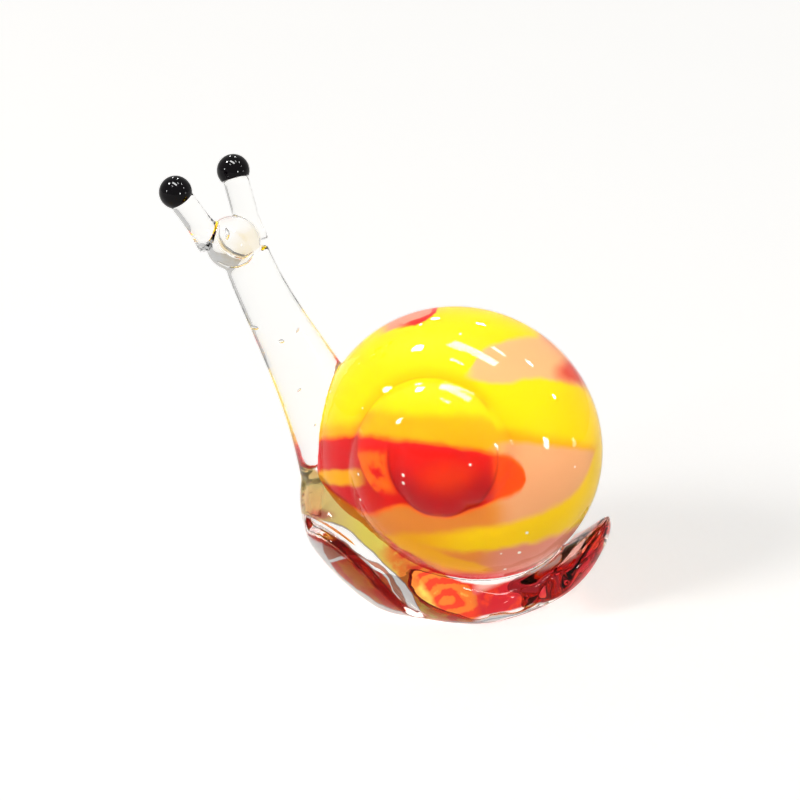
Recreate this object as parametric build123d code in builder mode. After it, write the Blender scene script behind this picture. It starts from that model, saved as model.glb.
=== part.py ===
"""A small snail of hot-worked glass: a clear body and a wound shell with coloured streaks under clear glass.

Millimetres, +Z up. The origin is the middle of the foot's flat base. The head points to -X, the tail to +X,
and the snail's left side, with the coil's open spiral, is at -Y.
"""

from build123d import *
import math
import os

os.makedirs("parts", exist_ok=True)

# The shell's coil winds inwards round an axis along Y, clockwise as seen from the left side. Its shares are
# of the tube's radius where the coil starts.
coil_start_radius = 5.85
shell_clearance = 2.55
shell_setback = 1.1
shell_offset = 0.46
shell_height_share = 1.47
coil_turn = 640.0
coil_start_angle = 195.0
start_reach_share = 0.88
end_reach_share = 0.034
end_radius_share = 0.632
end_shift_shares = (-0.085, -0.855, 0.308)
reach_power_share = 0.6
radius_power_share = 1.3
rise_power_share = 0.85
drift_power_share = 3.0
columella_share = 0.12
end_swell_share = 0.026
hub_radius_share = 0.838
hub_offset_share = 0.103
loft_count = 3
loft_sections = 7

# Clear glass is gathered over the coil. The coloured streaks lie under it, on the wound core.
casing_wall = 0.6
fused_gap = 0.02
streak_bed_share = 1.4
streak_bed_length_share = 0.94
streak_reach_share = 3.0
streak_facing_shares = (0.05, -1.0, 0.46)

# Each streak's outline on the plane that faces the open spiral, as shares of the coil's start radius: across
# to the tail, and up.
crown_yellow_shares = (
    (-2.22, 0.15),
    (-0.51, 0.29),
    (0.14, 0.34),
    (0.14, 0.75),
    (0.68, 1.20),
    (1.06, 2.22),
    (-2.22, 2.22),
)
side_yellow_shares = ((-0.17, 0.32), (1.03, 0.14), (2.22, 0.15), (2.22, 0.75), (1.03, 0.67), (-0.17, 0.72))
orange_shares = ((-2.22, 0.43), (0.43, 0.43), (0.84, -0.27), (0.38, -0.79), (-0.51, -0.89), (-2.22, -0.80))
red_shares = (
    (-2.22, 0.0),
    (-0.51, 0.10),
    (0.39, -0.05),
    (0.65, -0.27),
    (0.27, -0.63),
    (-0.51, -0.75),
    (-2.22, -0.65),
)
lower_yellow_shares = (
    (2.22, -0.03),
    (1.57, -0.58),
    (1.06, -0.99),
    (0.41, -1.13),
    (-0.68, -1.06),
    (-0.68, -1.30),
    (0.41, -1.37),
    (1.30, -1.26),
    (2.22, -0.58),
)
belly_red_share = -1.2

# The foot: a pressed gather with a tall chest in front and a tail that turns up behind.
foot_length = 22.0
foot_half_width = 6.3
foot_height = 9.6
foot_front_share = -0.4955
foot_flat_share = 0.8
station_shares = (0.0, 0.03, 0.10, 0.19, 0.32, 0.48, 0.64, 0.79, 0.90, 0.97, 1.0)
width_shares = (0.16, 0.44, 0.74, 0.90, 0.98, 1.00, 0.97, 0.82, 0.58, 0.34, 0.12)
under_shares = (0.56, 0.46, 0.30, 0.14, -0.02, -0.05, -0.03, 0.08, 0.22, 0.42, 0.60)
top_shares = (0.84, 0.98, 1.06, 1.06, 0.94, 0.64, 0.45, 0.44, 0.56, 0.70, 0.76)

# A fold runs down the foot's left side, and pincers have crimped the edge towards the tail.
fold_radius = 0.55
fold_depth = 0.3
fold_station_shares = (0.05, 0.13, 0.20, 0.29, 0.37, 0.44)
fold_height_shares = (0.62, 0.64, 0.58, 0.42, 0.20, 0.02)
crimp_radius = 1.7
crimp_depth = 0.35
crimp_station_shares = (0.64, 0.79, 0.90)

# The neck: a drawn rod that leans forward from the chest to the head.
neck_radius = 3.5
neck_lean = 7.1
neck_height = 15.2
neck_foot_shares = (-0.332, -0.3545)
neck_chest_shares = (0.667, 0.9375)
neck_lean_shares = (0.352, 0.761, 1.0)
neck_rise_shares = (0.408, 0.757, 1.0)
neck_radius_shares = (1.0, 0.943, 0.714, 0.529, 0.471)

# The head: a rounded gather on the neck's end. Its shares are of its radius.
head_radius = 1.9
head_offset_shares = (-0.42, -0.16, 0.42)

# The eye stalks and the black beads on their ends, left side first.
stalk_names = ("left_eye_stalk", "right_eye_stalk")
eye_names = ("left_eye", "right_eye")
root_offset_shares = ((-0.684, -0.316, 0.105), (0.579, 0.632, -0.105))
stalk_reaches = ((-2.15, -1.4, 3.8), (-1.75, 1.4, 4.65))
stalk_root_radius = 1.15
stalk_radius = 0.9
stalk_taper = 1.6
eye_radius = 1.15
eye_seat_share = 0.52

coil_centre = Vector(shell_setback, shell_offset, shell_clearance + coil_start_radius * shell_height_share)
foot_front = foot_length * foot_front_share


def coil_laws(turned):
    """Reach from the axis, tube radius and shift of the axis, after turning so many degrees."""
    share = min(turned / coil_turn, 1)
    reach_share = end_reach_share + (start_reach_share - end_reach_share) * (1 - share) ** reach_power_share
    radius_share = 1 + (end_radius_share - 1) * share**radius_power_share
    drift = share**drift_power_share
    rise = share**rise_power_share
    across, along, up = end_shift_shares
    shift = Vector(across * drift, along * rise, up * drift)
    return reach_share * coil_start_radius, radius_share * coil_start_radius, shift * coil_start_radius


def coil_outward(turned):
    angle = math.radians(coil_start_angle - turned)
    return Vector(math.cos(angle), 0, math.sin(angle))


def coil_section(turned, inset):
    """The tube's section in the half plane beyond the columella, with its edge drawn in by the inset."""
    reach, radius, shift = coil_laws(turned)
    outward = coil_outward(turned)
    travel = outward.cross(Vector(0, 1, 0))
    columella = coil_start_radius * columella_share
    cover = coil_start_radius * 3
    with BuildSketch(Plane(origin=coil_centre + shift, x_dir=outward, z_dir=travel)) as section:
        with Locations((reach, 0)):
            Circle(radius - inset)
        with Locations((columella, 0)):
            Rectangle(cover, cover, align=(Align.MIN, Align.CENTER), mode=Mode.INTERSECT)
    return section.sketch.face()


def wound_coil(inset):
    """The whole coil: whorls that run into each other, rounded ends and a filled hollow on the far side."""
    swell = coil_start_radius * end_swell_share
    with BuildPart() as coil:
        for index in range(loft_count):
            first = coil_turn * index / loft_count
            step = coil_turn / loft_count / loft_sections
            loft([coil_section(first + step * station, inset) for station in range(loft_sections + 1)])
        for turned in (0, coil_turn):
            reach, radius, shift = coil_laws(turned)
            with Locations(coil_centre + shift + coil_outward(turned) * reach):
                Sphere(radius - inset + swell)
        with Locations(coil_centre + Vector(0, coil_start_radius * hub_offset_share, 0)):
            Sphere(coil_start_radius * hub_radius_share - inset)
    return coil.part


def streak_block(outline_shares, both_sides):
    """A bar with a streak's outline, from the coil's middle out to its left side or to both sides."""
    outline = [(across * coil_start_radius, up * coil_start_radius) for across, up in outline_shares]
    facing = Plane(origin=coil_centre, x_dir=Vector(1, 0, 0), z_dir=Vector(*streak_facing_shares))
    with BuildPart() as block:
        with BuildSketch(facing):
            with BuildLine():
                Polyline(*outline, close=True)
            make_face()
        extrude(amount=coil_start_radius * streak_reach_share, both=both_sides)
        add(streak_bed.part, mode=Mode.SUBTRACT)
    return block.part


def foot_shape(width_share, under_share, top_share):
    """The height of the foot's widest line, half its width there and the height of its rounded top."""
    half_height = (top_share - under_share) * foot_height / (1 + foot_flat_share)
    return top_share * foot_height - half_height, width_share * foot_half_width, half_height


def foot_section(station, width_share, under_share, top_share):
    middle, half_width, half_height = foot_shape(width_share, under_share, top_share)
    above = (Align.CENTER, Align.MIN)
    with BuildSketch(Plane.YZ.offset(foot_front + station * foot_length)) as section:
        with Locations((0, middle)):
            Ellipse(half_width, half_height)
        with Locations((0, under_share * foot_height)):
            Rectangle(foot_half_width * 3, foot_height * 2, align=above, mode=Mode.INTERSECT)
    return section.sketch.face()


def between(station, shares):
    """A share at a station along the foot, on the straight line between its listed neighbours."""
    after = next(index for index, place in enumerate(station_shares) if place >= station)
    before = after - 1
    part = (station - station_shares[before]) / (station_shares[after] - station_shares[before])
    return shares[before] + (shares[after] - shares[before]) * part


def left_side_point(station, height_share, sink):
    """A point on the foot's left side, drawn in by the sink."""
    shares = [between(station, table) for table in (width_shares, under_shares, top_shares)]
    middle, half_width, half_height = foot_shape(*shares)
    height = height_share * foot_height
    lift = min(abs(height - middle) / half_height, 1)
    return Vector(foot_front + station * foot_length, sink - half_width * math.sqrt(1 - lift**2), height)


coil_outside = wound_coil(0)
coil_inside = wound_coil(casing_wall)
coil_core = wound_coil(casing_wall + fused_gap)

with BuildPart() as shell_casing:
    add(coil_outside)
    add(coil_inside, mode=Mode.SUBTRACT)
shell_casing.part.label = "shell_casing"

with BuildPart() as fold:
    fold_points = [
        left_side_point(station, height_share, fold_depth - fold_radius)
        for station, height_share in zip(fold_station_shares, fold_height_shares)
    ]
    with BuildLine() as fold_line:
        Spline(*fold_points)
    with BuildSketch(Plane(origin=fold_line.line @ 0, z_dir=fold_line.line % 0)):
        Circle(fold_radius)
    sweep(path=fold_line.line)

with BuildPart() as foot:
    loft([foot_section(*shares) for shares in zip(station_shares, width_shares, under_shares, top_shares)])
    split(bisect_by=Plane.XY, keep=Keep.TOP)
    add(coil_outside, mode=Mode.SUBTRACT)
    add(fold.part, mode=Mode.SUBTRACT)
    for station in crimp_station_shares:
        side = between(station, width_shares) * foot_half_width + crimp_radius - crimp_depth
        for sign in (-1, 1):
            with Locations((foot_front + station * foot_length, sign * side, foot_height / 2)):
                Cylinder(crimp_radius, foot_height * 2, mode=Mode.SUBTRACT)
foot.part.label = "foot"

with BuildPart() as neck:
    chest_x = neck_foot_shares[1] * foot_length
    chest_z = neck_chest_shares[1] * foot_height
    neck_points = [Vector(neck_foot_shares[0] * foot_length, 0, neck_chest_shares[0] * foot_height)]
    neck_points.append(Vector(chest_x, 0, chest_z))
    for lean, rise in zip(neck_lean_shares, neck_rise_shares):
        neck_points.append(Vector(chest_x - neck_lean * lean, 0, chest_z + neck_height * rise))
    with BuildLine(mode=Mode.PRIVATE) as neck_path:
        Spline(*neck_points)
    neck_sections = []
    for index, share in enumerate(neck_radius_shares):
        place = index / (len(neck_points) - 1)
        with BuildSketch(Plane(origin=neck_points[index], z_dir=neck_path.line % place)) as section:
            Circle(neck_radius * share)
        neck_sections.append(section.sketch.face())
    loft(neck_sections)
    add(foot.part, mode=Mode.SUBTRACT)
    add(coil_outside, mode=Mode.SUBTRACT)
neck.part.label = "neck"

head_centre = neck_points[-1] + Vector(*head_offset_shares) * head_radius
with BuildPart() as head:
    with Locations(head_centre):
        Sphere(head_radius)
    add(neck.part, mode=Mode.SUBTRACT)
head.part.label = "head"

stalks = []
eyes = []
for index, root_shares in enumerate(root_offset_shares):
    root = head_centre + Vector(*root_shares) * head_radius
    reach = Vector(*stalk_reaches[index])
    seat = reach.length - eye_radius * eye_seat_share
    along = Plane(origin=root, z_dir=reach)
    with BuildPart() as stalk:
        with BuildSketch(Plane(origin=root, x_dir=along.x_dir, z_dir=along.y_dir)):
            with BuildLine():
                Polyline(
                    (0, 0),
                    (stalk_root_radius, 0),
                    (stalk_radius, -stalk_taper),
                    (stalk_radius, -seat),
                    (0, -seat),
                    close=True,
                )
            make_face()
        revolve(axis=Axis(root, reach))
        add(head.part, mode=Mode.SUBTRACT)
        add(neck.part, mode=Mode.SUBTRACT)
    stalk.part.label = stalk_names[index]
    stalks.append(stalk)
    with BuildPart() as eye:
        with Locations(root + reach):
            Sphere(eye_radius)
        split(bisect_by=Plane(origin=root + reach.normalized() * seat, z_dir=reach), keep=Keep.TOP)
    eye.part.label = eye_names[index]
    eyes.append(eye)

with BuildPart() as streak_bed:
    with Locations(Plane(origin=coil_centre, z_dir=Vector(0, -1, 0))):
        Cylinder(coil_start_radius * streak_bed_share, coil_start_radius * streak_bed_length_share)

with BuildPart() as belly_block:
    belly_reach = coil_start_radius * streak_reach_share
    below = (Align.CENTER, Align.CENTER, Align.MAX)
    with Locations(coil_centre + Vector(0, 0, coil_start_radius * belly_red_share)):
        Box(belly_reach * 2, belly_reach * 2, belly_reach, align=below)

streak_blocks = {
    "crown_yellow_streak": streak_block(crown_yellow_shares, True),
    "side_yellow_streak": streak_block(side_yellow_shares, False),
    "lower_yellow_streak": streak_block(lower_yellow_shares, False),
    "belly_red_streak": belly_block.part,
    "red_streak": streak_block(red_shares, False),
    "orange_streak": streak_block(orange_shares, False),
}

streaks = []
core_left = coil_core
for name, block in streak_blocks.items():
    with BuildPart() as streak:
        add(core_left)
        add(block, mode=Mode.INTERSECT)
    streak.part.label = name
    streaks.append(streak)
    with BuildPart() as shell_core:
        add(core_left)
        add(block, mode=Mode.SUBTRACT)
    core_left = shell_core.part
shell_core.part.label = "shell_core"

for piece in (shell_casing, shell_core, *streaks, foot, neck, head, *stalks, *eyes):
    export_step(piece.part, f"parts/{piece.part.label}.step")
    print(piece.part.label, piece.part.is_valid, [round(solid.volume, 2) for solid in piece.part.solids()])
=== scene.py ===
import math

import bmesh
import bpy
from mathutils import Euler, Matrix, Vector


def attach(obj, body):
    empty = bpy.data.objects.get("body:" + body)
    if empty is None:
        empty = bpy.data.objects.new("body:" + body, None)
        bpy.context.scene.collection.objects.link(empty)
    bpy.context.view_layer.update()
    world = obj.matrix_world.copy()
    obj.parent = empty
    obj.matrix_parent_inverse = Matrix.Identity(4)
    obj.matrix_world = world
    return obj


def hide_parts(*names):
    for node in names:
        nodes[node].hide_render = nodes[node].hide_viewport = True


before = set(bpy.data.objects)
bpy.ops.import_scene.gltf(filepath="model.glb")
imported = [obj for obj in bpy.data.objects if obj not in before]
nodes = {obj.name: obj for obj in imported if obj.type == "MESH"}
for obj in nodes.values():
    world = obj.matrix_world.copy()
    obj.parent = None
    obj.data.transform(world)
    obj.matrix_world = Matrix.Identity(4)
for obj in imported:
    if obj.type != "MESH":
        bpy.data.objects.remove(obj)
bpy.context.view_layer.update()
bpy.context.scene.view_settings.view_transform = "Standard"
mm = 0.001
shellMiddle = Vector((0.9, 0.2, 11.5)) * mm
print("frame loaded:", len(nodes), "nodes")

# Where the photograph was taken from. The view axes are used again to place the streaks.
cameraPlace = {
    "aim": Vector((0.9, -0.54, 11.0)) * mm,
    "azimuth": math.radians(12.5),
    "elevation": math.radians(20.5),
    "distance": 260 * mm,
    "focalLength": 168.5,
    "frameLeft": 4.54 * mm,
    "frameUp": 3.68 * mm,
    "sensorWidth": 36,
    "clipStart": 10 * mm,
    "clipEnd": 10,
}


def viewAxes():
    az, el = cameraPlace["azimuth"], cameraPlace["elevation"]
    right = Vector((math.cos(az), math.sin(az), 0))
    up = Vector((-math.sin(az) * math.sin(el), math.cos(az) * math.sin(el), math.cos(el)))
    return right, up, right.cross(up)


viewRight, viewUp, viewBack = viewAxes()


def addCamera():
    data = bpy.data.cameras.new("camera")
    camera = bpy.data.objects.new("camera", data)
    bpy.context.scene.collection.objects.link(camera)
    aim = cameraPlace["aim"]
    camera.location = aim + viewBack * cameraPlace["distance"]
    middle = aim - viewRight * cameraPlace["frameLeft"] + viewUp * cameraPlace["frameUp"]
    camera.rotation_euler = (middle - camera.location).to_track_quat("-Z", "Y").to_euler()
    data.lens = cameraPlace["focalLength"]
    data.sensor_width = cameraPlace["sensorWidth"]
    data.clip_start = cameraPlace["clipStart"]
    data.clip_end = cameraPlace["clipEnd"]
    data.dof.use_dof = False
    bpy.context.scene.camera = camera
    print("camera placed")


# Small helpers for node trees

def joinSockets(tree, socket, value):
    if isinstance(value, bpy.types.NodeSocket):
        tree.links.new(value, socket)
    else:
        socket.default_value = value


def doMath(tree, operation, *values):
    node = tree.nodes.new("ShaderNodeMath")
    node.operation = operation
    for socket, value in zip(node.inputs, values):
        joinSockets(tree, socket, value)
    return node.outputs[0]


def softStep(tree, value, low, high):
    node = tree.nodes.new("ShaderNodeMapRange")
    node.interpolation_type = "SMOOTHSTEP"
    joinSockets(tree, node.inputs["Value"], value)
    joinSockets(tree, node.inputs["From Min"], low)
    joinSockets(tree, node.inputs["From Max"], high)
    return node.outputs["Result"]


def alongAxis(tree, point, axis):
    node = tree.nodes.new("ShaderNodeVectorMath")
    node.operation = "DOT_PRODUCT"
    tree.links.new(point, node.inputs[0])
    node.inputs[1].default_value = axis
    return node.outputs["Value"]


def noiseValue(tree, point, scale, detail):
    node = tree.nodes.new("ShaderNodeTexNoise")
    tree.links.new(point, node.inputs["Vector"])
    joinSockets(tree, node.inputs["Scale"], scale)
    node.inputs["Detail"].default_value = detail
    return node.outputs["Fac"]


def mixColour(tree, mask, under, over):
    node = tree.nodes.new("ShaderNodeMix")
    node.data_type = "RGBA"
    joinSockets(tree, node.inputs[0], mask)
    joinSockets(tree, node.inputs[6], under)
    joinSockets(tree, node.inputs[7], over)
    return node.outputs[2]


def newGroup(name, inputs, outputs):
    group = bpy.data.node_groups.new(name, "ShaderNodeTree")
    for label, kind, value in inputs:
        socket = group.interface.new_socket(name=label, in_out="INPUT", socket_type=kind)
        socket.default_value = value
    for label, kind in outputs:
        group.interface.new_socket(name=label, in_out="OUTPUT", socket_type=kind)
    return group, group.nodes.new("NodeGroupInput"), group.nodes.new("NodeGroupOutput")


def newMaterial(name):
    material = bpy.data.materials.new(name)
    material.use_nodes = True
    material.node_tree.nodes.clear()
    return material, material.node_tree


def placeGroup(tree, group, **values):
    node = tree.nodes.new("ShaderNodeGroup")
    node.node_tree = group
    for label, value in values.items():
        joinSockets(tree, node.inputs[label], value)
    return node


def addOutput(tree, shader, kind="ShaderNodeOutputMaterial"):
    out = tree.nodes.new(kind)
    tree.links.new(shader.outputs[0], out.inputs["Surface"])


def glassRippleGroup():
    # the slow waves that a flame leaves on a glass surface, as a height for a Bump node
    group, given, made = newGroup(
        "glassRipple",
        [("Scale", "NodeSocketFloat", 260.0), ("Fine", "NodeSocketFloat", 0.2)],
        [("Height", "NodeSocketFloat")],
    )
    point = group.nodes.new("ShaderNodeTexCoord").outputs["Object"]
    slow = noiseValue(group, point, given.outputs["Scale"], 1.0)
    quick = noiseValue(group, point, doMath(group, "MULTIPLY", given.outputs["Scale"], 4.0), 2.0)
    fine = doMath(group, "MULTIPLY", quick, given.outputs["Fine"])
    group.links.new(doMath(group, "ADD", slow, fine), made.inputs["Height"])
    return group


def edgeLine(tree, across, points):
    # a line through points that are given in mm across and up
    span = 14.0
    node = tree.nodes.new("ShaderNodeFloatCurve")
    node.mapping.extend = "HORIZONTAL"
    curve = node.mapping.curves[0]
    places = [(x / span / 2 + 0.5, y / span / 2 + 0.5) for x, y in points]
    curve.points[0].location = places[0]
    curve.points[1].location = places[-1]
    for x, y in places[1:-1]:
        curve.points.new(x, y)
    node.mapping.update()
    joinSockets(tree, node.inputs["Value"], doMath(tree, "MULTIPLY_ADD", across, 1 / span / 2, 0.5))
    return doMath(tree, "MULTIPLY_ADD", node.outputs[0], span * 2, -span)


def below(tree, up, line, soft):
    return softStep(tree, doMath(tree, "SUBTRACT", up, line), soft, -soft)


def above(tree, up, line, soft):
    return softStep(tree, doMath(tree, "SUBTRACT", up, line), -soft, soft)


def reachFrom(tree, across, up, place, size=(1, 1)):
    dx = doMath(tree, "DIVIDE", doMath(tree, "SUBTRACT", across, place[0]), size[0])
    dy = doMath(tree, "DIVIDE", doMath(tree, "SUBTRACT", up, place[1]), size[1])
    square = doMath(tree, "MULTIPLY_ADD", dx, dx, doMath(tree, "MULTIPLY", dy, dy))
    return doMath(tree, "SQRT", square)


def spotMask(tree, across, up, spot, soft):
    place, size = spot
    return softStep(tree, reachFrom(tree, across, up, place, size), 1 + soft, 1 - soft)


def nearLine(tree, up, line, outer, inner):
    # 1 on the line, and 0 from outer away from it
    away = doMath(tree, "ABSOLUTE", doMath(tree, "SUBTRACT", up, line))
    return softStep(tree, away, outer, inner)


def both(tree, *masks):
    result = masks[0]
    for mask in masks[1:]:
        result = doMath(tree, "MULTIPLY", result, mask)
    return result


def viewPlane(tree, middle):
    # mm across and up from a point of the picture, along the fixed view axes
    point = tree.nodes.new("ShaderNodeTexCoord").outputs["Object"]
    places = []
    for axis, offset in ((viewRight, middle[0]), (viewUp, middle[1])):
        start = cameraPlace["aim"].dot(axis) / mm + offset
        places.append(doMath(tree, "MULTIPLY_ADD", alongAxis(tree, point, axis), 1 / mm, -start))
    return point, places[0], places[1]


# Colours of the shell's glass, as linear values. Places and edge lines are in mm across and up from the
# shell's middle, as the viewer sees it. A crease is a middle and a reach, a spot a middle and half sizes.
shellStreaks = {
    "middle": (-0.1, 0.69),
    "shrink": 0.95,
    "wobble": 0.5,
    "slowScale": 190.0,
    "quickScale": 900.0,
    "speckScale": 620.0,
    "yellow": (0.88, 0.60, 0.001, 1),
    "gold": (0.80, 0.38, 0.004, 1),
    "tan": (0.74, 0.25, 0.035, 1),
    "orange": (0.88, 0.13, 0.004, 1),
    "flame": (0.95, 0.075, 0.002, 1),
    "red": (0.66, 0.006, 0.003, 1),
    "crimson": (0.60, 0.009, 0.012, 1),
    "shadedRed": (0.40, 0.003, 0.008, 1),
    "peach": (0.78, 0.38, 0.17, 1),
    "pink": (0.72, 0.26, 0.18, 1),
    "mauve": (0.66, 0.17, 0.17, 1),
    "speck": (0.95, 0.93, 0.85, 1),
    "shade": (0.45, 0.2, 0.1, 1),
    "outerCrease": ((-2.5, -0.2), 4.87),
    "outerArcWay": (0.656, -0.755),
    "innerCrease": ((-1.46, -1.1), 3.82),
    "glowSpot": ((-0.9, -2.6), (1.9, 1.1)),
    "stainSpot": ((7.8, 5.0), (1.3, 0.85)),
    "partingUp": -2.45,
    "goldLine": ((-10.5, 1.1), (-7.2, 1.4), (-4, 1.1), (0, 1.1), (3, 1.0), (6, 0.4), (10.5, -0.3)),
    "goldRise": 0.9,
    "peachLine": ((-10, -0.3), (1.5, -0.4), (2.5, 0.0), (6, -0.2), (10.5, -0.7)),
    "wedgeTop": (
        (-10.5, 0.1), (-7.2, 0.35), (-5.3, 0.12), (-1.7, -0.25), (0.8, -0.6),
        (2.5, -0.95), (3.5, -1.2), (4.1, -1.7), (4.4, -2.4), (4.7, -3.6),
    ),
    "wedgeFoot": (
        (-10.5, -2.4), (-9, -3.8), (-6.7, -4.8), (-5.3, -4.5), (-4.4, -4.2), (-2.7, -4.7), (-1, -4.9),
        (0.8, -4.5), (2.5, -3.8), (3.5, -3.4), (4.1, -3.0), (4.4, -2.4), (4.7, -1.2),
    ),
    "bandTop": (
        (-7, -6.6), (-4.4, -6.4), (-1.7, -6.3), (2.5, -5.8), (6, -4.6), (8.2, -2.8), (9.1, -0.4), (9.6, 1.5),
    ),
    "bandFoot": ((-7, -6.8), (-4.4, -7.0), (-1.7, -7.5), (2.5, -7.4), (6, -6.5), (8.6, -4.9), (9.8, -3.0)),
    "lowLine": ((-7, -6.4), (-5, -6.9), (-2.7, -7.7), (0, -8.5), (2, -9.0), (6, -9.6)),
    "patchTop": (
        (-1, 4.4), (0.4, 5.2), (1.2, 6.4), (2.5, 7.0), (4.2, 7.3), (6.0, 7.5), (7.2, 6.9), (8.4, 5.6),
    ),
    "patchFoot": ((-1, 4.8), (0.6, 4.6), (2.5, 4.2), (4.2, 4.5), (6.0, 4.5), (7.7, 4.0), (9.6, 3.2)),
    "crownLine": ((-7, 6.6), (-5, 7.9), (-3.9, 8.25), (-2.7, 8.65), (-2.0, 9.2), (-1.5, 10)),
}


def shellStreakGroup():
    # the bands of coloured glass, laid through the shell along the line of sight
    group, given, made = newGroup(
        "shellStreaks",
        [("Wobble", "NodeSocketFloat", shellStreaks["wobble"])],
        [("Color", "NodeSocketColor"), ("Clearness", "NodeSocketFloat"), ("Glow", "NodeSocketColor")],
    )
    look = shellStreaks
    point, across, up = viewPlane(group, look["middle"])
    across = doMath(group, "DIVIDE", across, look["shrink"])
    up = doMath(group, "DIVIDE", up, look["shrink"])
    slow = doMath(group, "SUBTRACT", noiseValue(group, point, look["slowScale"], 2.0), 0.5)
    quick = doMath(group, "SUBTRACT", noiseValue(group, point, look["quickScale"], 3.0), 0.5)
    straightUp = up
    up = doMath(group, "MULTIPLY_ADD", doMath(group, "ADD", slow, quick), given.outputs["Wobble"], up)

    # inside and outside of the two creases that the viewer sees
    outerMiddle, outerReach = look["outerCrease"]
    innerMiddle, innerReach = look["innerCrease"]
    outer = doMath(group, "SUBTRACT", reachFrom(group, across, straightUp, outerMiddle), outerReach)
    inner = doMath(group, "SUBTRACT", reachFrom(group, across, straightUp, innerMiddle), innerReach)
    wayAcross, wayUp = look["outerArcWay"]
    lean = doMath(group, "MULTIPLY", doMath(group, "SUBTRACT", across, outerMiddle[0]), wayAcross)
    lean = doMath(group, "MULTIPLY_ADD", doMath(group, "SUBTRACT", straightUp, outerMiddle[1]), wayUp, lean)
    outerArc = softStep(group, lean, 1.4, 0.2)
    innerArc = softStep(group, straightUp, innerMiddle[1] + 1.2, innerMiddle[1] + 0.2)
    innerWhorl = both(group, softStep(group, outer, 0.05, -0.05), softStep(group, across, 3.0, 1.0))

    # yellow over the top, gold under it, then peach on the tail side and tan on the head side
    goldLine = edgeLine(group, across, look["goldLine"])
    goldLine = doMath(group, "MULTIPLY_ADD", innerWhorl, look["goldRise"], goldLine)
    colour = mixColour(group, below(group, up, goldLine, 0.45), look["yellow"], look["gold"])
    peachLine = edgeLine(group, across, look["peachLine"])
    peach = both(group, below(group, up, peachLine, 0.3), softStep(group, across, 1.2, 3.4))
    colour = mixColour(group, peach, colour, look["peach"])
    low = both(group, softStep(group, up, -3.6, -4.8), softStep(group, across, 4.0, 1.4))
    colour = mixColour(group, low, colour, look["tan"])

    # the orange and red wedge
    wedgeTop = edgeLine(group, across, look["wedgeTop"])
    wedgeFoot = edgeLine(group, across, look["wedgeFoot"])
    hemTop = below(group, up, doMath(group, "ADD", wedgeTop, 0.28), 0.22)
    hemFoot = above(group, up, doMath(group, "ADD", wedgeFoot, -0.25), 0.3)
    colour = mixColour(group, both(group, hemTop, hemFoot), colour, look["orange"])
    wedge = both(group, below(group, up, wedgeTop, 0.14), above(group, up, wedgeFoot, 0.2))
    colour = mixColour(group, both(group, wedge, softStep(group, across, 3.4, 1.9)), colour, look["red"])
    colour = mixColour(group, both(group, wedge, softStep(group, across, 1.6, 2.6)), colour, look["flame"])

    # left of the outer crease the red is darker and parted by an orange streak
    farLeft = both(group, softStep(group, across, -6.6, -7.4), softStep(group, outer, -0.05, 0.1))
    colour = mixColour(group, both(group, wedge, farLeft), colour, look["crimson"])
    parting = both(group, nearLine(group, up, look["partingUp"], 0.75, 0.35), farLeft)
    colour = mixColour(group, parting, colour, look["gold"])

    # between the two creases it is mottled with orange
    between = both(group, innerWhorl, softStep(group, inner, -0.1, 0.5), softStep(group, across, -3.4, -4.6))
    between = both(group, between, wedge, softStep(group, up, -0.3, -0.9), softStep(group, up, -3.7, -2.9))
    mottle = both(group, between, softStep(group, quick, -0.14, 0.06))
    colour = mixColour(group, mottle, colour, look["orange"])

    # the inner end glows red and has painted shade, darker towards its lower edge
    glow = spotMask(group, across, up, look["glowSpot"], 0.8)
    colour = mixColour(group, doMath(group, "MULTIPLY", glow, 0.35), colour, look["flame"])
    shadeCrescent = both(group, softStep(group, inner, -2.3, -0.5), softStep(group, inner, 0.1, 0.0), wedge)
    shadeCrescent = both(group, shadeCrescent, softStep(group, straightUp, -1.2, -3.0))
    shadeCrescent = both(group, shadeCrescent, softStep(group, across, 2.4, 1.6))
    colour = mixColour(group, doMath(group, "MULTIPLY", shadeCrescent, 0.8), colour, look["shadedRed"])
    upperLine = softStep(group, doMath(group, "SUBTRACT", wedgeTop, up), 0.7, 0.15)
    upperLine = both(group, wedge, upperLine, softStep(group, across, 1.5, -1.0))
    colour = mixColour(group, doMath(group, "MULTIPLY", upperLine, 0.5), colour, look["crimson"])

    # the yellow bands low on the near side, with tan and pink under them
    bandTop = edgeLine(group, across, look["bandTop"])
    bandFoot = edgeLine(group, across, look["bandFoot"])
    under = mixColour(group, softStep(group, across, 0.6, 3.2), look["tan"], look["pink"])
    lowest = both(group, below(group, up, bandFoot, 0.3), softStep(group, across, -5.5, -4.0))
    colour = mixColour(group, lowest, colour, under)
    band = both(group, below(group, up, bandTop, 0.35), above(group, up, bandFoot, 0.3))
    band = both(group, band, softStep(group, across, -6.0, -4.5))
    bandColour = mixColour(group, softStep(group, across, -4.0, 0.8), look["gold"], look["yellow"])
    colour = mixColour(group, band, colour, bandColour)
    lowBand = nearLine(group, up, edgeLine(group, across, look["lowLine"]), 0.5, 0.25)
    lowBand = both(group, lowBand, softStep(group, across, 2.6, 1.0))
    colour = mixColour(group, lowBand, colour, look["gold"])

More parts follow.
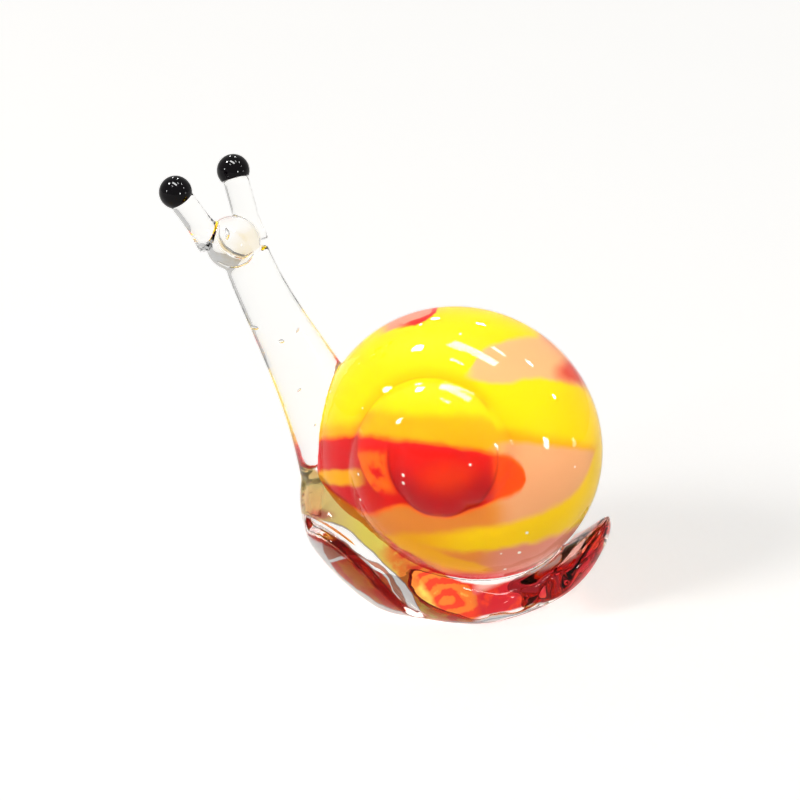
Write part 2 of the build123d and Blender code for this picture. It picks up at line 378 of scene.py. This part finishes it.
    # the peach patch high on the tail side, its red spot and the mauve edge
    patch = below(group, up, edgeLine(group, across, look["patchTop"]), 0.25)
    patch = both(group, patch, above(group, up, edgeLine(group, across, look["patchFoot"]), 0.25))
    patch = both(group, patch, softStep(group, across, -0.3, 0.9))
    colour = mixColour(group, patch, colour, look["peach"])
    stain = doMath(group, "MULTIPLY", spotMask(group, across, up, look["stainSpot"], 0.5), 0.85)
    colour = mixColour(group, stain, colour, look["crimson"])
    rim = softStep(group, reachFrom(group, across, up, (0, 0)), 8.9, 9.5)
    rim = both(group, rim, softStep(group, across, 3.4, 5.6), softStep(group, up, 2.6, 4.4))
    colour = mixColour(group, doMath(group, "MULTIPLY", rim, 0.9), colour, look["mauve"])

    # the pink cap on the crown, with a red edge
    crownLine = edgeLine(group, across, look["crownLine"])
    crown = both(group, above(group, up, crownLine, 0.1), softStep(group, across, -6.2, -5.0))
    colour = mixColour(group, crown, colour, look["pink"])
    crownEdge = both(group, nearLine(group, up, crownLine, 0.24, 0.1), softStep(group, across, -5.0, -3.6))
    colour = mixColour(group, crownEdge, colour, look["red"])

    # red under the shell, where the foot holds it, and a painted glow there, emission standing in for the
    # light that the foot leads in
    height = doMath(group, "MULTIPLY", alongAxis(group, point, Vector((0, 0, 1))), 1 / mm)
    belly = softStep(group, doMath(group, "MULTIPLY_ADD", slow, 1.6, height), 4.9, 4.0)
    colour = mixColour(group, belly, colour, look["crimson"])
    bellyGlow = mixColour(group, softStep(group, height, 5.6, 3.6), (0, 0, 0, 1), colour)

    # soft painted shade beside and along the creases, and pale specks: partly bubbles in the glass, partly
    # painted glints
    beside = both(group, softStep(group, outer, 1.1, 0.0), softStep(group, outer, -0.06, 0.0), outerArc)
    shade = doMath(group, "MULTIPLY", beside, 0.28)
    for reach, width, arc, depth in ((outer, 0.12, outerArc, 0.38), (inner, 0.14, innerArc, 0.45)):
        crease = both(group, nearLine(group, reach, 0.0, width, 0.02), arc)
        shade = doMath(group, "MAXIMUM", shade, doMath(group, "MULTIPLY", crease, depth))
    dark = group.nodes.new("ShaderNodeMix")
    dark.data_type = "RGBA"
    dark.blend_type = "MULTIPLY"
    joinSockets(group, dark.inputs[0], shade)
    joinSockets(group, dark.inputs[6], colour)
    joinSockets(group, dark.inputs[7], look["shade"])
    cells = group.nodes.new("ShaderNodeTexVoronoi")
    joinSockets(group, cells.inputs["Vector"], point)
    joinSockets(group, cells.inputs["Scale"], look["speckScale"])
    speckGlints = softStep(group, cells.outputs["Distance"], 0.095, 0.06)
    rare = softStep(group, alongAxis(group, cells.outputs["Color"], Vector((1, 0, 0))), 0.52, 0.54)
    colour = mixColour(group, both(group, speckGlints, rare), dark.outputs[2], look["speck"])
    group.links.new(colour, made.inputs["Color"])
    group.links.new(doMath(group, "MULTIPLY_ADD", quick, 0.2, 0.4), made.inputs["Clearness"])
    group.links.new(bellyGlow, made.inputs["Glow"])
    return group


# Painted refraction: colours painted into the clear foot, standing in for the view of the shell's underside
# that the foot bends. A refraction tints by the square root of the colour, so each is the square of what
# shows. Places and spots as for the shell.
footRefractionPaint = {
    "wobble": 0.5,
    "slowScale": 240.0,
    "quickScale": 800.0,
    "clear": (0.99, 0.99, 0.98, 1),
    "olive": (0.40, 0.25, 0.035, 1),
    "straw": (0.46, 0.34, 0.012, 1),
    "brown": (0.30, 0.05, 0.02, 1),
    "brick": (0.46, 0.003, 0.0006, 1),
    "orange": (0.50, 0.04, 0.001, 1),
    "crimson": (0.30, 0.0006, 0.0012, 1),
    "blush": (0.56, 0.20, 0.16, 1),
    "dark": (0.05, 0.02, 0.015, 1),
    "pale": (0.62, 0.30, 0.22, 1),
    "amber": (0.90, 0.78, 0.56, 1),
    "steel": (0.35, 0.40, 0.45, 1),
    "rings": 5.0,
    "rimLines": 14.0,
    "ringSpot": ((-0.9, -10.9), (1.1, 0.6)),
    "swirlSpot": ((-9.9, -5.0), (0.9, 0.35)),
    "paleMiddle": (-6.5, -8.85),
    "paleWay": (0.81, -0.59),
    "paleSpot": ((0, 0), (0.8, 0.26)),
    "amberSpot": ((-15.9, 13.4), (1.2, 1.2)),
    "rim": (
        (-13, -0.8), (-10.7, -1.6), (-8.3, -3.9), (-5.5, -6.2), (-2.4, -8.3), (1.1, -9.6),
        (4.6, -8.9), (6.5, -7.6), (7.7, -6.4), (8.6, -5.0), (9.4, -3.2), (11, 0),
    ),
    "strip": (
        (-12, -4.8), (-10.7, -5.2), (-9.1, -5.6), (-8.1, -5.9), (-7.3, -6.4), (-6.5, -7.2),
        (-5.7, -8.0), (-4.9, -8.8), (-4.1, -9.5), (-3.6, -10.3), (-3.1, -11.4), (-2.6, -12.4),
    ),
    "crimsonTop": ((0, -10.4), (1.3, -10.1), (3.4, -9.3), (6, -8.5), (8.2, -7.4), (9.0, -5.9), (9.8, -5.5)),
    "crimsonFoot": ((0, -12.4), (1.5, -11.9), (4.2, -11.2), (7.7, -10.1), (9.1, -8.6), (9.8, -6.2)),
    "lensTop": (
        (-9.9, -7.2), (-9.6, -6.9), (-8.9, -6.7), (-8.1, -6.8), (-7.4, -7.4), (-6.5, -8.0),
        (-5.6, -8.4), (-5.1, -8.9), (-4.5, -9.8), (-3.9, -11.1), (-3.6, -12),
    ),
    "lensFoot": (
        (-9.9, -7.4), (-9.6, -7.8), (-9.1, -8.6), (-8.3, -9.4), (-7.4, -10.1),
        (-6.3, -10.9), (-5.1, -11.5), (-4.4, -11.7), (-3.8, -11.7),
    ),
    "brightLine": (
        (-9.9, -8.5), (-9.1, -8.2), (-7.7, -7.8), (-6.9, -8.0), (-6.1, -8.6),
        (-5.3, -9.1), (-4.7, -10.3), (-4.1, -11.3), (-3.6, -12.2),
    ),
}


def footRefractionPaintGroup():
    group, given, made = newGroup(
        "footRefractionPaint",
        [("Wobble", "NodeSocketFloat", footRefractionPaint["wobble"]), ("Strength", "NodeSocketFloat", 1.0)],
        [("Color", "NodeSocketColor")],
    )
    look = footRefractionPaint
    point, across, up = viewPlane(group, shellStreaks["middle"])
    slow = doMath(group, "SUBTRACT", noiseValue(group, point, look["slowScale"], 2.0), 0.5)
    quick = doMath(group, "SUBTRACT", noiseValue(group, point, look["quickScale"], 3.0), 0.5)
    bend = doMath(group, "MULTIPLY", doMath(group, "MULTIPLY_ADD", quick, 0.5, slow), given.outputs["Wobble"])
    across = doMath(group, "ADD", across, bend)
    up = doMath(group, "ADD", up, bend)
    foot = below(group, up, edgeLine(group, across, look["rim"]), 0.12)

    # head side of the fold, above the clear strip
    strip = edgeLine(group, across, look["strip"])
    fromStrip = doMath(group, "MULTIPLY", doMath(group, "SUBTRACT", up, strip), 0.76)
    colour = mixColour(group, softStep(group, across, -9.2, -6.6), look["olive"], look["straw"])
    patches = both(group, softStep(group, across, -6.6, -4.6), softStep(group, quick, -0.2, 0.1))
    colour = mixColour(group, patches, colour, look["orange"])
    colour = mixColour(group, spotMask(group, across, up, look["swirlSpot"], 0.5), colour, look["brown"])

    # towards the tail: rings of orange and red, then crimson
    ringAcross = doMath(group, "MULTIPLY_ADD", slow, 2.6, across)
    ringUp = doMath(group, "MULTIPLY_ADD", quick, 1.2, doMath(group, "MULTIPLY_ADD", slow, -1.6, up))
    ringReach = reachFrom(group, ringAcross, ringUp, *look["ringSpot"])
    waves = doMath(group, "SINE", doMath(group, "MULTIPLY", ringReach, look["rings"]))
    rings = mixColour(group, softStep(group, waves, -0.5, 0.6), look["brick"], look["orange"])
    straws = softStep(group, doMath(group, "ADD", waves, doMath(group, "MULTIPLY", quick, 2.5)), 1.0, 1.5)
    rings = mixColour(group, doMath(group, "MULTIPLY", straws, 0.6), rings, look["straw"])
    tailward = softStep(group, doMath(group, "MULTIPLY_ADD", up, 0.75, across), -10.6, -9.9)
    colour = mixColour(group, tailward, colour, rings)
    crimsonTop = edgeLine(group, across, look["crimsonTop"])
    crimsonFoot = edgeLine(group, across, look["crimsonFoot"])
    tail = softStep(group, across, 0.6, 1.5)
    colour = mixColour(group, both(group, tail, above(group, up, crimsonTop, 0.3)), colour, look["blush"])
    inBand = both(group, below(group, up, crimsonTop, 0.2), above(group, up, crimsonFoot, 0.12))
    lively = mixColour(group, softStep(group, quick, 0.05, 0.2), look["crimson"], look["brick"])
    colour = mixColour(group, both(group, tail, inBand), colour, lively)
    clearRim = both(group, tail, below(group, up, crimsonFoot, 0.12))
    colour = mixColour(group, clearRim, colour, look["clear"])
    aboveRim = doMath(group, "SUBTRACT", up, crimsonFoot)
    rimLines = doMath(group, "SINE", doMath(group, "MULTIPLY", aboveRim, look["rimLines"]))
    rimLines = both(group, clearRim, softStep(group, rimLines, 0.6, 0.95))
    colour = mixColour(group, rimLines, colour, look["steel"])

    # in front of a dark line the glass is clear, but for a red lens with a bright line through it; the lens,
    # its dark borders, bright line and pale spot are painted refraction
    lensTop = edgeLine(group, across, look["lensTop"])
    lensFoot = edgeLine(group, across, look["lensFoot"])
    brightLine = edgeLine(group, across, look["brightLine"])
    ends = both(group, softStep(group, across, -9.75, -9.6), softStep(group, across, -3.8, -3.95))
    lens = both(group, below(group, up, lensTop, 0.06), above(group, up, lensFoot, 0.06), ends)
    red = mixColour(group, softStep(group, quick, -0.05, 0.15), look["brick"], look["orange"])
    red = mixColour(group, above(group, up, brightLine, 0.05), red, look["brown"])
    paleX = doMath(group, "SUBTRACT", across, look["paleMiddle"][0])
    paleY = doMath(group, "SUBTRACT", up, look["paleMiddle"][1])
    wayX, wayY = look["paleWay"]
    turnX = doMath(group, "MULTIPLY_ADD", paleX, wayX, doMath(group, "MULTIPLY", paleY, wayY))
    turnY = doMath(group, "MULTIPLY_ADD", paleX, -wayY, doMath(group, "MULTIPLY", paleY, wayX))
    red = mixColour(group, spotMask(group, turnX, turnY, look["paleSpot"], 0.3), red, look["pale"])
    red = mixColour(group, nearLine(group, up, brightLine, 0.14, 0.08), red, look["clear"])
    front = mixColour(group, lens, look["clear"], red)
    for line, width in ((lensTop, 0.09), (lensFoot, 0.07)):
        border = both(group, nearLine(group, up, line, width, 0.02), ends)
        front = mixColour(group, doMath(group, "MULTIPLY", border, 0.6), front, look["dark"])
    colour = mixColour(group, softStep(group, fromStrip, 0.04, -0.04), colour, front)
    darkLine = both(group, nearLine(group, fromStrip, 0.0, 0.09, 0.02), softStep(group, across, -9.9, -9.0))
    colour = mixColour(group, doMath(group, "MULTIPLY", darkLine, 0.8), colour, look["dark"])
    strength = doMath(group, "MULTIPLY", foot, given.outputs["Strength"])
    # painted refraction: amber mottling where the view bends through the head's glass
    amber = spotMask(group, across, up, look["amberSpot"], 0.4)
    amber = both(group, amber, softStep(group, quick, -0.05, 0.15))
    amberRefraction = mixColour(group, amber, look["clear"], look["amber"])
    group.links.new(mixColour(group, strength, amberRefraction, colour), made.inputs["Color"])
    return group


def addRipple(tree, glass, look):
    ripple = placeGroup(tree, ripples, Scale=look["rippleScale"], Fine=look["rippleFine"])
    bump = tree.nodes.new("ShaderNodeBump")
    bump.inputs["Strength"].default_value = look["rippleStrength"]
    bump.inputs["Distance"].default_value = look["rippleHeight"]
    tree.links.new(ripple.outputs["Height"], bump.inputs["Height"])
    tree.links.new(bump.outputs["Normal"], glass.inputs["Normal"])


# The foot's painted refraction colours are weaker on the way out (wayOut), and where the view has met glass
# before (later).
clearLook = {
    "wayOut": 0.12,
    "later": 0.4,
    "shine": (0.3, 0.3, 0.3, 1),
    "roughness": 0.0,
    "ior": 1.45,
    "rippleScale": 420.0,
    "rippleFine": 0.12,
    "rippleStrength": 0.25,
    "rippleHeight": 0.02 * mm,
    "lampTint": (0.50, 0.49, 0.48, 1),
}


def clearGlassMaterial():
    material, tree = newMaterial("clearGlass")
    glass = tree.nodes.new("ShaderNodeBsdfPrincipled")
    wayOut = tree.nodes.new("ShaderNodeNewGeometry").outputs["Backfacing"]
    paths = tree.nodes.new("ShaderNodeLightPath")
    strength = doMath(tree, "MULTIPLY_ADD", wayOut, clearLook["wayOut"] - 1, 1.0)
    later = clearLook["later"]
    first = doMath(tree, "MULTIPLY_ADD", paths.outputs["Is Camera Ray"], 1 - later, later)
    strength = doMath(tree, "MULTIPLY", strength, first)
    colours = placeGroup(tree, footRefractions, Wobble=footRefractionPaint["wobble"], Strength=strength)
    tree.links.new(colours.outputs["Color"], glass.inputs["Base Color"])
    glass.inputs["Roughness"].default_value = clearLook["roughness"]
    glass.inputs["IOR"].default_value = clearLook["ior"]
    glass.inputs["Transmission Weight"].default_value = 1
    glass.inputs["Specular Tint"].default_value = clearLook["shine"]
    addRipple(tree, glass, clearLook)
    # lamps shine through to the coloured glass and the floor
    lampWay = tree.nodes.new("ShaderNodeBsdfTransparent")
    lampWay.inputs["Color"].default_value = clearLook["lampTint"]
    mix = tree.nodes.new("ShaderNodeMixShader")
    tree.links.new(paths.outputs["Is Shadow Ray"], mix.inputs[0])
    tree.links.new(glass.outputs[0], mix.inputs[1])
    tree.links.new(lampWay.outputs[0], mix.inputs[2])
    addOutput(tree, mix)
    return material


streakedLook = {"glow": 0.3, "shine": 0.05}


def streakedGlassMaterial():
    material, tree = newMaterial("streakedGlass")
    glass = tree.nodes.new("ShaderNodeBsdfPrincipled")
    streaks = placeGroup(tree, streakBands, Wobble=shellStreaks["wobble"])
    tree.links.new(streaks.outputs["Color"], glass.inputs["Base Color"])
    tree.links.new(streaks.outputs["Clearness"], glass.inputs["Roughness"])
    # the painted glow under the shell, standing in for light
    tree.links.new(streaks.outputs["Glow"], glass.inputs["Emission Color"])
    glass.inputs["Emission Strength"].default_value = streakedLook["glow"]
    glass.inputs["Specular IOR Level"].default_value = streakedLook["shine"]
    addOutput(tree, glass)
    return material


blackLook = {
    "deep": (0.001, 0.001, 0.0015, 1),
    "soft": (0.006, 0.004, 0.006, 1),
    "toneScale": 900.0,
    "roughness": 0.02,
    "shine": 0.15,
    "rippleScale": 900.0,
    "rippleFine": 0.3,
    "rippleStrength": 0.15,
    "rippleHeight": 0.02 * mm,
}


def blackGlassMaterial():
    material, tree = newMaterial("blackGlass")
    glass = tree.nodes.new("ShaderNodeBsdfPrincipled")
    point = tree.nodes.new("ShaderNodeTexCoord").outputs["Object"]
    tone = noiseValue(tree, point, blackLook["toneScale"], 3.0)
    tree.links.new(mixColour(tree, tone, blackLook["deep"], blackLook["soft"]), glass.inputs["Base Color"])
    addRipple(tree, glass, blackLook)
    glass.inputs["Roughness"].default_value = blackLook["roughness"]
    glass.inputs["Specular IOR Level"].default_value = blackLook["shine"]
    addOutput(tree, glass)
    return material


def outerSkin(mesh):
    # a hollow solid has two skins: only the one with the larger box is kept
    weld = 0.001 * mm
    work = bmesh.new()
    work.from_mesh(mesh)
    bmesh.ops.remove_doubles(work, verts=work.verts, dist=weld)
    left = set(work.verts)
    skins = []
    while left:
        start = left.pop()
        skin, edge = {start}, [start]
        while edge:
            vert = edge.pop()
            for link in vert.link_edges:
                other = link.other_vert(vert)
                if other not in skin:
                    skin.add(other)
                    edge.append(other)
        left -= skin
        skins.append(skin)
    widths = [max(v.co.x for v in skin) - min(v.co.x for v in skin) for skin in skins]
    keep = skins[widths.index(max(widths))]
    bmesh.ops.delete(work, geom=[v for v in work.verts if v not in keep], context="VERTS")
    return work


def applied(thing):
    graph = bpy.context.evaluated_depsgraph_get()
    mesh = bpy.data.meshes.new_from_object(thing.evaluated_get(graph))
    thing.modifiers.clear()
    old = thing.data
    thing.data = mesh
    bpy.data.meshes.remove(old)
    return mesh


# The coil's inner end, melted into one dome: middle and half sizes in mm.
innerEnd = {"middle": Vector((0.30, -5.34, 12.29)), "half": Vector((3.77, 3.04, 4.6)), "fineness": 5}

# Where the fused skin is melted smooth, in mm: inside the inner crease (near), in the middle of the far side,
# in the lower foot and tail, and at the tail's tip.
melted = {
    "passes": 70,
    "factor": 0.5,
    "nearDepth": 4.5,
    "nearInset": 0.15,
    "nearFade": 0.6,
    "farDepth": 3.2,
    "farFade": 0.8,
    "farReach": 7.6,
    "footTop": 6,
    "footTopFade": 1.2,
    "footBase": 0.35,
    "footBaseFade": 0.6,
    "footMost": 0.6,
    "tailStart": 3,
    "tailFade": 2,
    "tipStart": 7,
    "tipTop": 9,
    "tipFade": 1.5,
}


def addDome(joined, inset):
    place = Matrix.LocRotScale(innerEnd["middle"] * mm, None, (innerEnd["half"] - Vector((inset,) * 3)) * mm)
    bmesh.ops.create_icosphere(joined, subdivisions=innerEnd["fineness"], radius=1, matrix=place)


def meltWeight(spot, creaseMiddle, creaseReach):
    place = spot - creaseMiddle
    weight = 0
    if place.dot(viewBack) > melted["nearDepth"] * mm:
        away = math.hypot(place.dot(viewRight), place.dot(viewUp)) / mm
        weight = (creaseReach - melted["nearInset"] - away) / melted["nearFade"]
    elif spot.y > melted["farDepth"] * mm:
        away = math.hypot(spot.x - shellMiddle.x, spot.z - shellMiddle.z) / mm
        weight = min((spot.y / mm - melted["farDepth"]) / melted["farFade"], melted["farReach"] - away)
    if weight <= 0 and spot.z < melted["footTop"] * mm:
        height = spot.z / mm
        tail = min(1, max(0, (spot.x / mm - melted["tailStart"]) / melted["tailFade"]))
        weight = min(
            (height - melted["footBase"]) / melted["footBaseFade"],
            (melted["footTop"] - height) / melted["footTopFade"],
            melted["footMost"] + (1 - melted["footMost"]) * tail,
        )
    if spot.x > melted["tipStart"] * mm and spot.z < melted["tipTop"] * mm:
        inward = (spot.x / mm - melted["tipStart"]) / melted["tipFade"]
        weight = max(weight, min(inward, (melted["tipTop"] - spot.z / mm) / melted["tipFade"]))
    return min(1, weight)


def meltSkin(thing):
    (across, up), reach = shellStreaks["innerCrease"]
    middle = cameraPlace["aim"] + viewRight * (across + shellStreaks["middle"][0]) * mm
    middle += viewUp * (up + shellStreaks["middle"][1]) * mm
    group = thing.vertex_groups.new(name="melted")
    for vert in thing.data.vertices:
        weight = meltWeight(vert.co, middle, reach)
        if weight > 0:
            group.add([vert.index], weight, "REPLACE")
    melt = thing.modifiers.new("melt", "SMOOTH")
    melt.factor = melted["factor"]
    melt.iterations = melted["passes"]
    melt.vertex_group = "melted"


def fusedMesh(name, look):
    # one flame-rounded skin from several solids that touch
    joined = bmesh.new()
    addDome(joined, look["inset"])
    for part in look["parts"]:
        work = outerSkin(nodes[part].data)
        mesh = bpy.data.meshes.new("work")
        work.to_mesh(mesh)
        joined.from_mesh(mesh)
        bpy.data.meshes.remove(mesh)
        work.free()
    mesh = bpy.data.meshes.new(name)
    joined.to_mesh(mesh)
    joined.free()
    thing = bpy.data.objects.new(name, mesh)
    bpy.context.scene.collection.objects.link(thing)
    remesh = thing.modifiers.new("remesh", "REMESH")
    remesh.mode = "VOXEL"
    remesh.voxel_size = look["voxel"]
    smooth = thing.modifiers.new("smooth", "SMOOTH")
    smooth.factor = look["factor"]
    smooth.iterations = look["passes"]
    applied(thing)
    meltSkin(thing)
    mesh = applied(thing)
    mesh.polygons.foreach_set("use_smooth", [True] * len(mesh.polygons))
    print(name, "has", len(mesh.polygons), "faces")
    return thing


clearBody = {
    "parts": ("foot", "neck", "head", "left_eye_stalk", "right_eye_stalk", "shell_casing"),
    "voxel": 0.12 * mm,
    "passes": 8,
    "factor": 0.5,
    "inset": 0.0,
}
woundCore = {
    "parts": (
        "shell_core",
        "crown_yellow_streak",
        "side_yellow_streak",
        "lower_yellow_streak",
        "belly_red_streak",
        "orange_streak",
        "red_streak",
    ),
    "voxel": 0.15 * mm,
    "passes": 8,
    "factor": 0.5,
    "inset": 0.62,
}


# Air caught in the glass: folds in the head as a thickness and a path across and up from its middle, in mm,
# and small bubbles in the neck as a middle and half sizes.
trappedAir = {
    "headMiddle": Vector((-15.7, -0.3, 25.0)),
    "folds": (
        (0.16, (
            (-1.03, 1.18), (-0.82, 0.76), (-0.75, 0.28), (-0.47, -0.21),
            (0.01, -0.56), (0.64, -0.76), (1.19, -0.63),
        )),
        (0.10, ((-0.82, -0.97), (-0.19, -1.28), (0.5, -1.48), (1.0, -1.28), (1.3, -0.85))),
        (0.12, ((-0.35, 0.72), (-0.25, 0.45), (-0.30, 0.15))),
    ),
    "foldCorners": 12,
    "foldSteps": 4,
    "foldDepth": 1.8,
    "foldTaper": 0.04,
    "foldLeast": 0.1,
    "bubbles": (
        ((-13.77, 0.0, 19.18), (0.24, 0.12, 0.12)),
        ((-12.31, 0.2, 18.04), (0.16, 0.10, 0.12)),
        ((-11.3, -0.3, 18.9), (0.07, 0.07, 0.20)),
        ((-10.9, 0.4, 14.6), (0.07, 0.07, 0.12)),
        ((-9.6, -0.6, 12.4), (0.06, 0.06, 0.10)),
    ),
    "bubbleLean": Euler((0, 0.5, 0)),
}


def addFold(work, thickness, path):
    # a flat air channel with closed, tapering ends
    corners, steps, taper = trappedAir["foldCorners"], trappedAir["foldSteps"], trappedAir["foldTaper"]
    points = [(trappedAir["headMiddle"] + viewRight * across + viewUp * up) * mm for across, up in path]
    dense = []
    for first, last in zip(points, points[1:]):
        dense += [first.lerp(last, step / steps) for step in range(steps)]
    dense.append(points[-1])
    rings = []
    for index, point in enumerate(dense):
        share = index / (len(dense) - 1)
        ahead = dense[min(index + 1, len(dense) - 1)] - dense[max(index - 1, 0)]
        side = ahead.cross(viewBack).normalized()
        swell = math.sin(math.pi * (taper + (1 - 2 * taper) * share)) ** 0.5
        radius = thickness * mm * max(swell, trappedAir["foldLeast"])
        ring = []
        for corner in range(corners):
            turn = math.tau * corner / corners
            spot = point + side * math.cos(turn) * radius
            spot = spot + viewBack * math.sin(turn) * radius * trappedAir["foldDepth"]
            ring.append(work.verts.new(spot))
        rings.append(ring)
    work.faces.new(tuple(reversed(rings[0])))
    work.faces.new(tuple(rings[-1]))
    for one, other in zip(rings, rings[1:]):
        for corner in range(corners):
            after = (corner + 1) % corners
            work.faces.new((one[corner], one[after], other[after], other[corner]))


def addTrappedAir(mesh):
    work = bmesh.new()
    for thickness, path in trappedAir["folds"]:
        addFold(work, thickness, path)
    for place, half in trappedAir["bubbles"]:
        matrix = Matrix.LocRotScale(Vector(place) * mm, trappedAir["bubbleLean"], Vector(half) * mm)
        bmesh.ops.create_icosphere(work, subdivisions=3, radius=1, matrix=matrix)
    bmesh.ops.recalc_face_normals(work, faces=work.faces)
    bmesh.ops.reverse_faces(work, faces=work.faces)  # air in glass faces inwards
    air = bpy.data.meshes.new("air")
    work.to_mesh(air)
    work.free()
    filled = bmesh.new()
    filled.from_mesh(mesh)
    filled.from_mesh(air)
    filled.to_mesh(mesh)
    filled.free()
    bpy.data.meshes.remove(air)
    mesh.polygons.foreach_set("use_smooth", [True] * len(mesh.polygons))


def addClearBody():
    body = fusedMesh("clear_body", clearBody)
    addTrappedAir(body.data)
    body.data.materials.append(clearGlass)
    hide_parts(*clearBody["parts"])
    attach(body, "root")


def addWoundCore():
    core = fusedMesh("wound_core", woundCore)
    core.data.materials.append(streakedGlass)
    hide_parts(*woundCore["parts"])
    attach(core, "root")


# mirrored and worldThroughGlass are how bright white stays in a reflection and through glass.
stageLook = {
    "floorHalf": 0.6,
    "floorTint": (0.97, 0.96, 0.94, 1),
    "floorTone": (0.95, 0.945, 0.93, 1),
    "floorScale": 30.0,
    "floorRoughness": 0.9,
    "floorGlow": 0.45,
    "worldLight": 0.40,
    "worldTint": (1.0, 0.985, 0.96, 1),
    "mirrored": 0.55,
    "worldThroughGlass": 0.35,
    "lampReach": 0.9,
    "keyWay": Vector((-0.55, -0.64, 0.53)),
    "keySides": (0.30, 0.30),
    "keyBrightness": 14,
}

# Small bright lamps that only show as sparks on the glass, placed by where a round surface shows them: across
# and up in parts of its radius. Then the length and width of the lamp as parts of its reach, the turn of its
# long side in degrees, and its brightness.
sparkLamps = {
    "tube": (-0.04, 0.47, 0.62, 0.17, -32, 55),
    "shortTube": (0.15, 0.52, 0.20, 0.06, -45, 50),
    "crossTube": (-0.17, 0.33, 0.20, 0.06, -40, 50),
    "window": (-0.36, 0.48, 0.13, 0.13, 0, 190),
    "lowWindow": (0.30, -0.10, 0.12, 0.12, 0, 90),
    "leftSpark": (-0.22, 0.83, 0.05, 0.05, 0, 140),
    "topSpark": (0.08, 0.80, 0.08, 0.055, 0, 140),
    "rightSpark": (0.36, 0.49, 0.055, 0.075, 0, 140),
    "farSpark": (0.50, 0.26, 0.06, 0.05, 0, 140),
    "sideWindow": (0.62, -0.10, 0.30, 0.12, 75, 14),
    "domeSpark": (-0.50, 0.06, 0.07, 0.10, 70, 90),
    "lowSpark": (-0.18, -0.28, 0.10, 0.065, 0, 80),
}


def seenDirectly(tree, throughGlass):
    # 1 where the camera looks at a thing, and a share where it is seen through glass or mirrored
    paths = tree.nodes.new("ShaderNodeLightPath")
    through = doMath(tree, "MULTIPLY", paths.outputs["Is Transmission Ray"], throughGlass)
    mirrored = doMath(tree, "MULTIPLY", paths.outputs["Is Glossy Ray"], stageLook["mirrored"])
    return doMath(tree, "MAXIMUM", paths.outputs["Is Camera Ray"], doMath(tree, "MAXIMUM", through, mirrored))


def floorMaterial():
    material, tree = newMaterial("paleFloor")
    matt = tree.nodes.new("ShaderNodeBsdfPrincipled")
    point = tree.nodes.new("ShaderNodeTexCoord").outputs["Object"]
    tone = noiseValue(tree, point, stageLook["floorScale"], 2.0)
    colour = mixColour(tree, tone, stageLook["floorTint"], stageLook["floorTone"])
    tree.links.new(colour, matt.inputs["Base Color"])
    matt.inputs["Roughness"].default_value = stageLook["floorRoughness"]
    matt.inputs["Specular IOR Level"].default_value = 0
    glow = tree.nodes.new("ShaderNodeEmission")
    seen = seenDirectly(tree, 1.0)
    tree.links.new(doMath(tree, "MULTIPLY", seen, stageLook["floorGlow"]), glow.inputs["Strength"])
    add = tree.nodes.new("ShaderNodeAddShader")
    tree.links.new(matt.outputs[0], add.inputs[0])
    tree.links.new(glow.outputs[0], add.inputs[1])
    addOutput(tree, add)
    return material


def addFloor():
    work = bmesh.new()
    bmesh.ops.create_grid(work, x_segments=8, y_segments=8, size=stageLook["floorHalf"])
    mesh = bpy.data.meshes.new("floor")
    work.to_mesh(mesh)
    work.free()
    floor = bpy.data.objects.new("floor", mesh)
    bpy.context.scene.collection.objects.link(floor)
    mesh.materials.append(floorMaterial())


def addWorld():
    world = bpy.data.worlds.new("paleWorld")
    bpy.context.scene.world = world
    world.use_nodes = True
    tree = world.node_tree
    tree.nodes.clear()
    seen = seenDirectly(tree, stageLook["worldThroughGlass"])
    paths = tree.nodes.new("ShaderNodeLightPath")
    straight = doMath(tree, "SUBTRACT", 1.0, paths.outputs["Is Transmission Ray"])
    light = doMath(tree, "MAXIMUM", seen, doMath(tree, "MULTIPLY", straight, stageLook["worldLight"]))
    glow = tree.nodes.new("ShaderNodeBackground")
    tree.links.new(light, glow.inputs["Strength"])
    tree.links.new(mixColour(tree, seen, stageLook["worldTint"], (1, 1, 1, 1)), glow.inputs["Color"])
    addOutput(tree, glow, "ShaderNodeOutputWorld")


def addLamp(name, way, sides, brightness, longWay=None):
    # brightness is what the lamp looks like beside white
    place = shellMiddle + way * stageLook["lampReach"]
    sides = [side * stageLook["lampReach"] for side in sides]
    data = bpy.data.lights.new(name, "AREA")
    data.shape = "RECTANGLE"
    data.size, data.size_y = sides
    data.energy = brightness * math.pi * sides[0] * sides[1]
    lamp = bpy.data.objects.new(name, data)
    bpy.context.scene.collection.objects.link(lamp)
    back = (place - shellMiddle).normalized()
    side = (longWay or Vector((0, 0, 1)).cross(back)).normalized()
    side = (side - back * side.dot(back)).normalized()
    turn = Matrix((side, back.cross(side), back)).transposed()
    lamp.matrix_world = Matrix.Translation(place) @ turn.to_4x4()
    return lamp


def mirroredWay(across, up):
    # where a lamp stands to show at this place of a round surface
    toward = viewRight * across + viewUp * up + viewBack * math.sqrt(1 - across**2 - up**2)
    return toward * 2 * toward.dot(viewBack) - viewBack


def addLamps():
    key = addLamp("keyLamp", stageLook["keyWay"], stageLook["keySides"], stageLook["keyBrightness"])
    key.visible_glossy = False
    key.visible_transmission = False
    step = 0.02  # how far along a spark its lamp's long side is measured, as a part of the radius
    for name, (across, up, length, width, turn, brightness) in sparkLamps.items():
        way = mirroredWay(across, up)
        angle = math.radians(turn)
        nearby = mirroredWay(across + step * math.cos(angle), up + step * math.sin(angle))
        spark = addLamp(name, way, (length, width), brightness, nearby - way)
        spark.visible_diffuse = False
        spark.visible_transmission = False
    print("lamps placed")


ripples = glassRippleGroup()
streakBands = shellStreakGroup()
footRefractions = footRefractionPaintGroup()
clearGlass = clearGlassMaterial()
streakedGlass = streakedGlassMaterial()
blackGlass = blackGlassMaterial()
print("materials made")

addCamera()
addFloor()
addWorld()
addLamps()
addClearBody()
addWoundCore()
for eye in ("left_eye", "right_eye"):
    nodes[eye].data.materials.clear()
    nodes[eye].data.materials.append(blackGlass)
print("glass made")
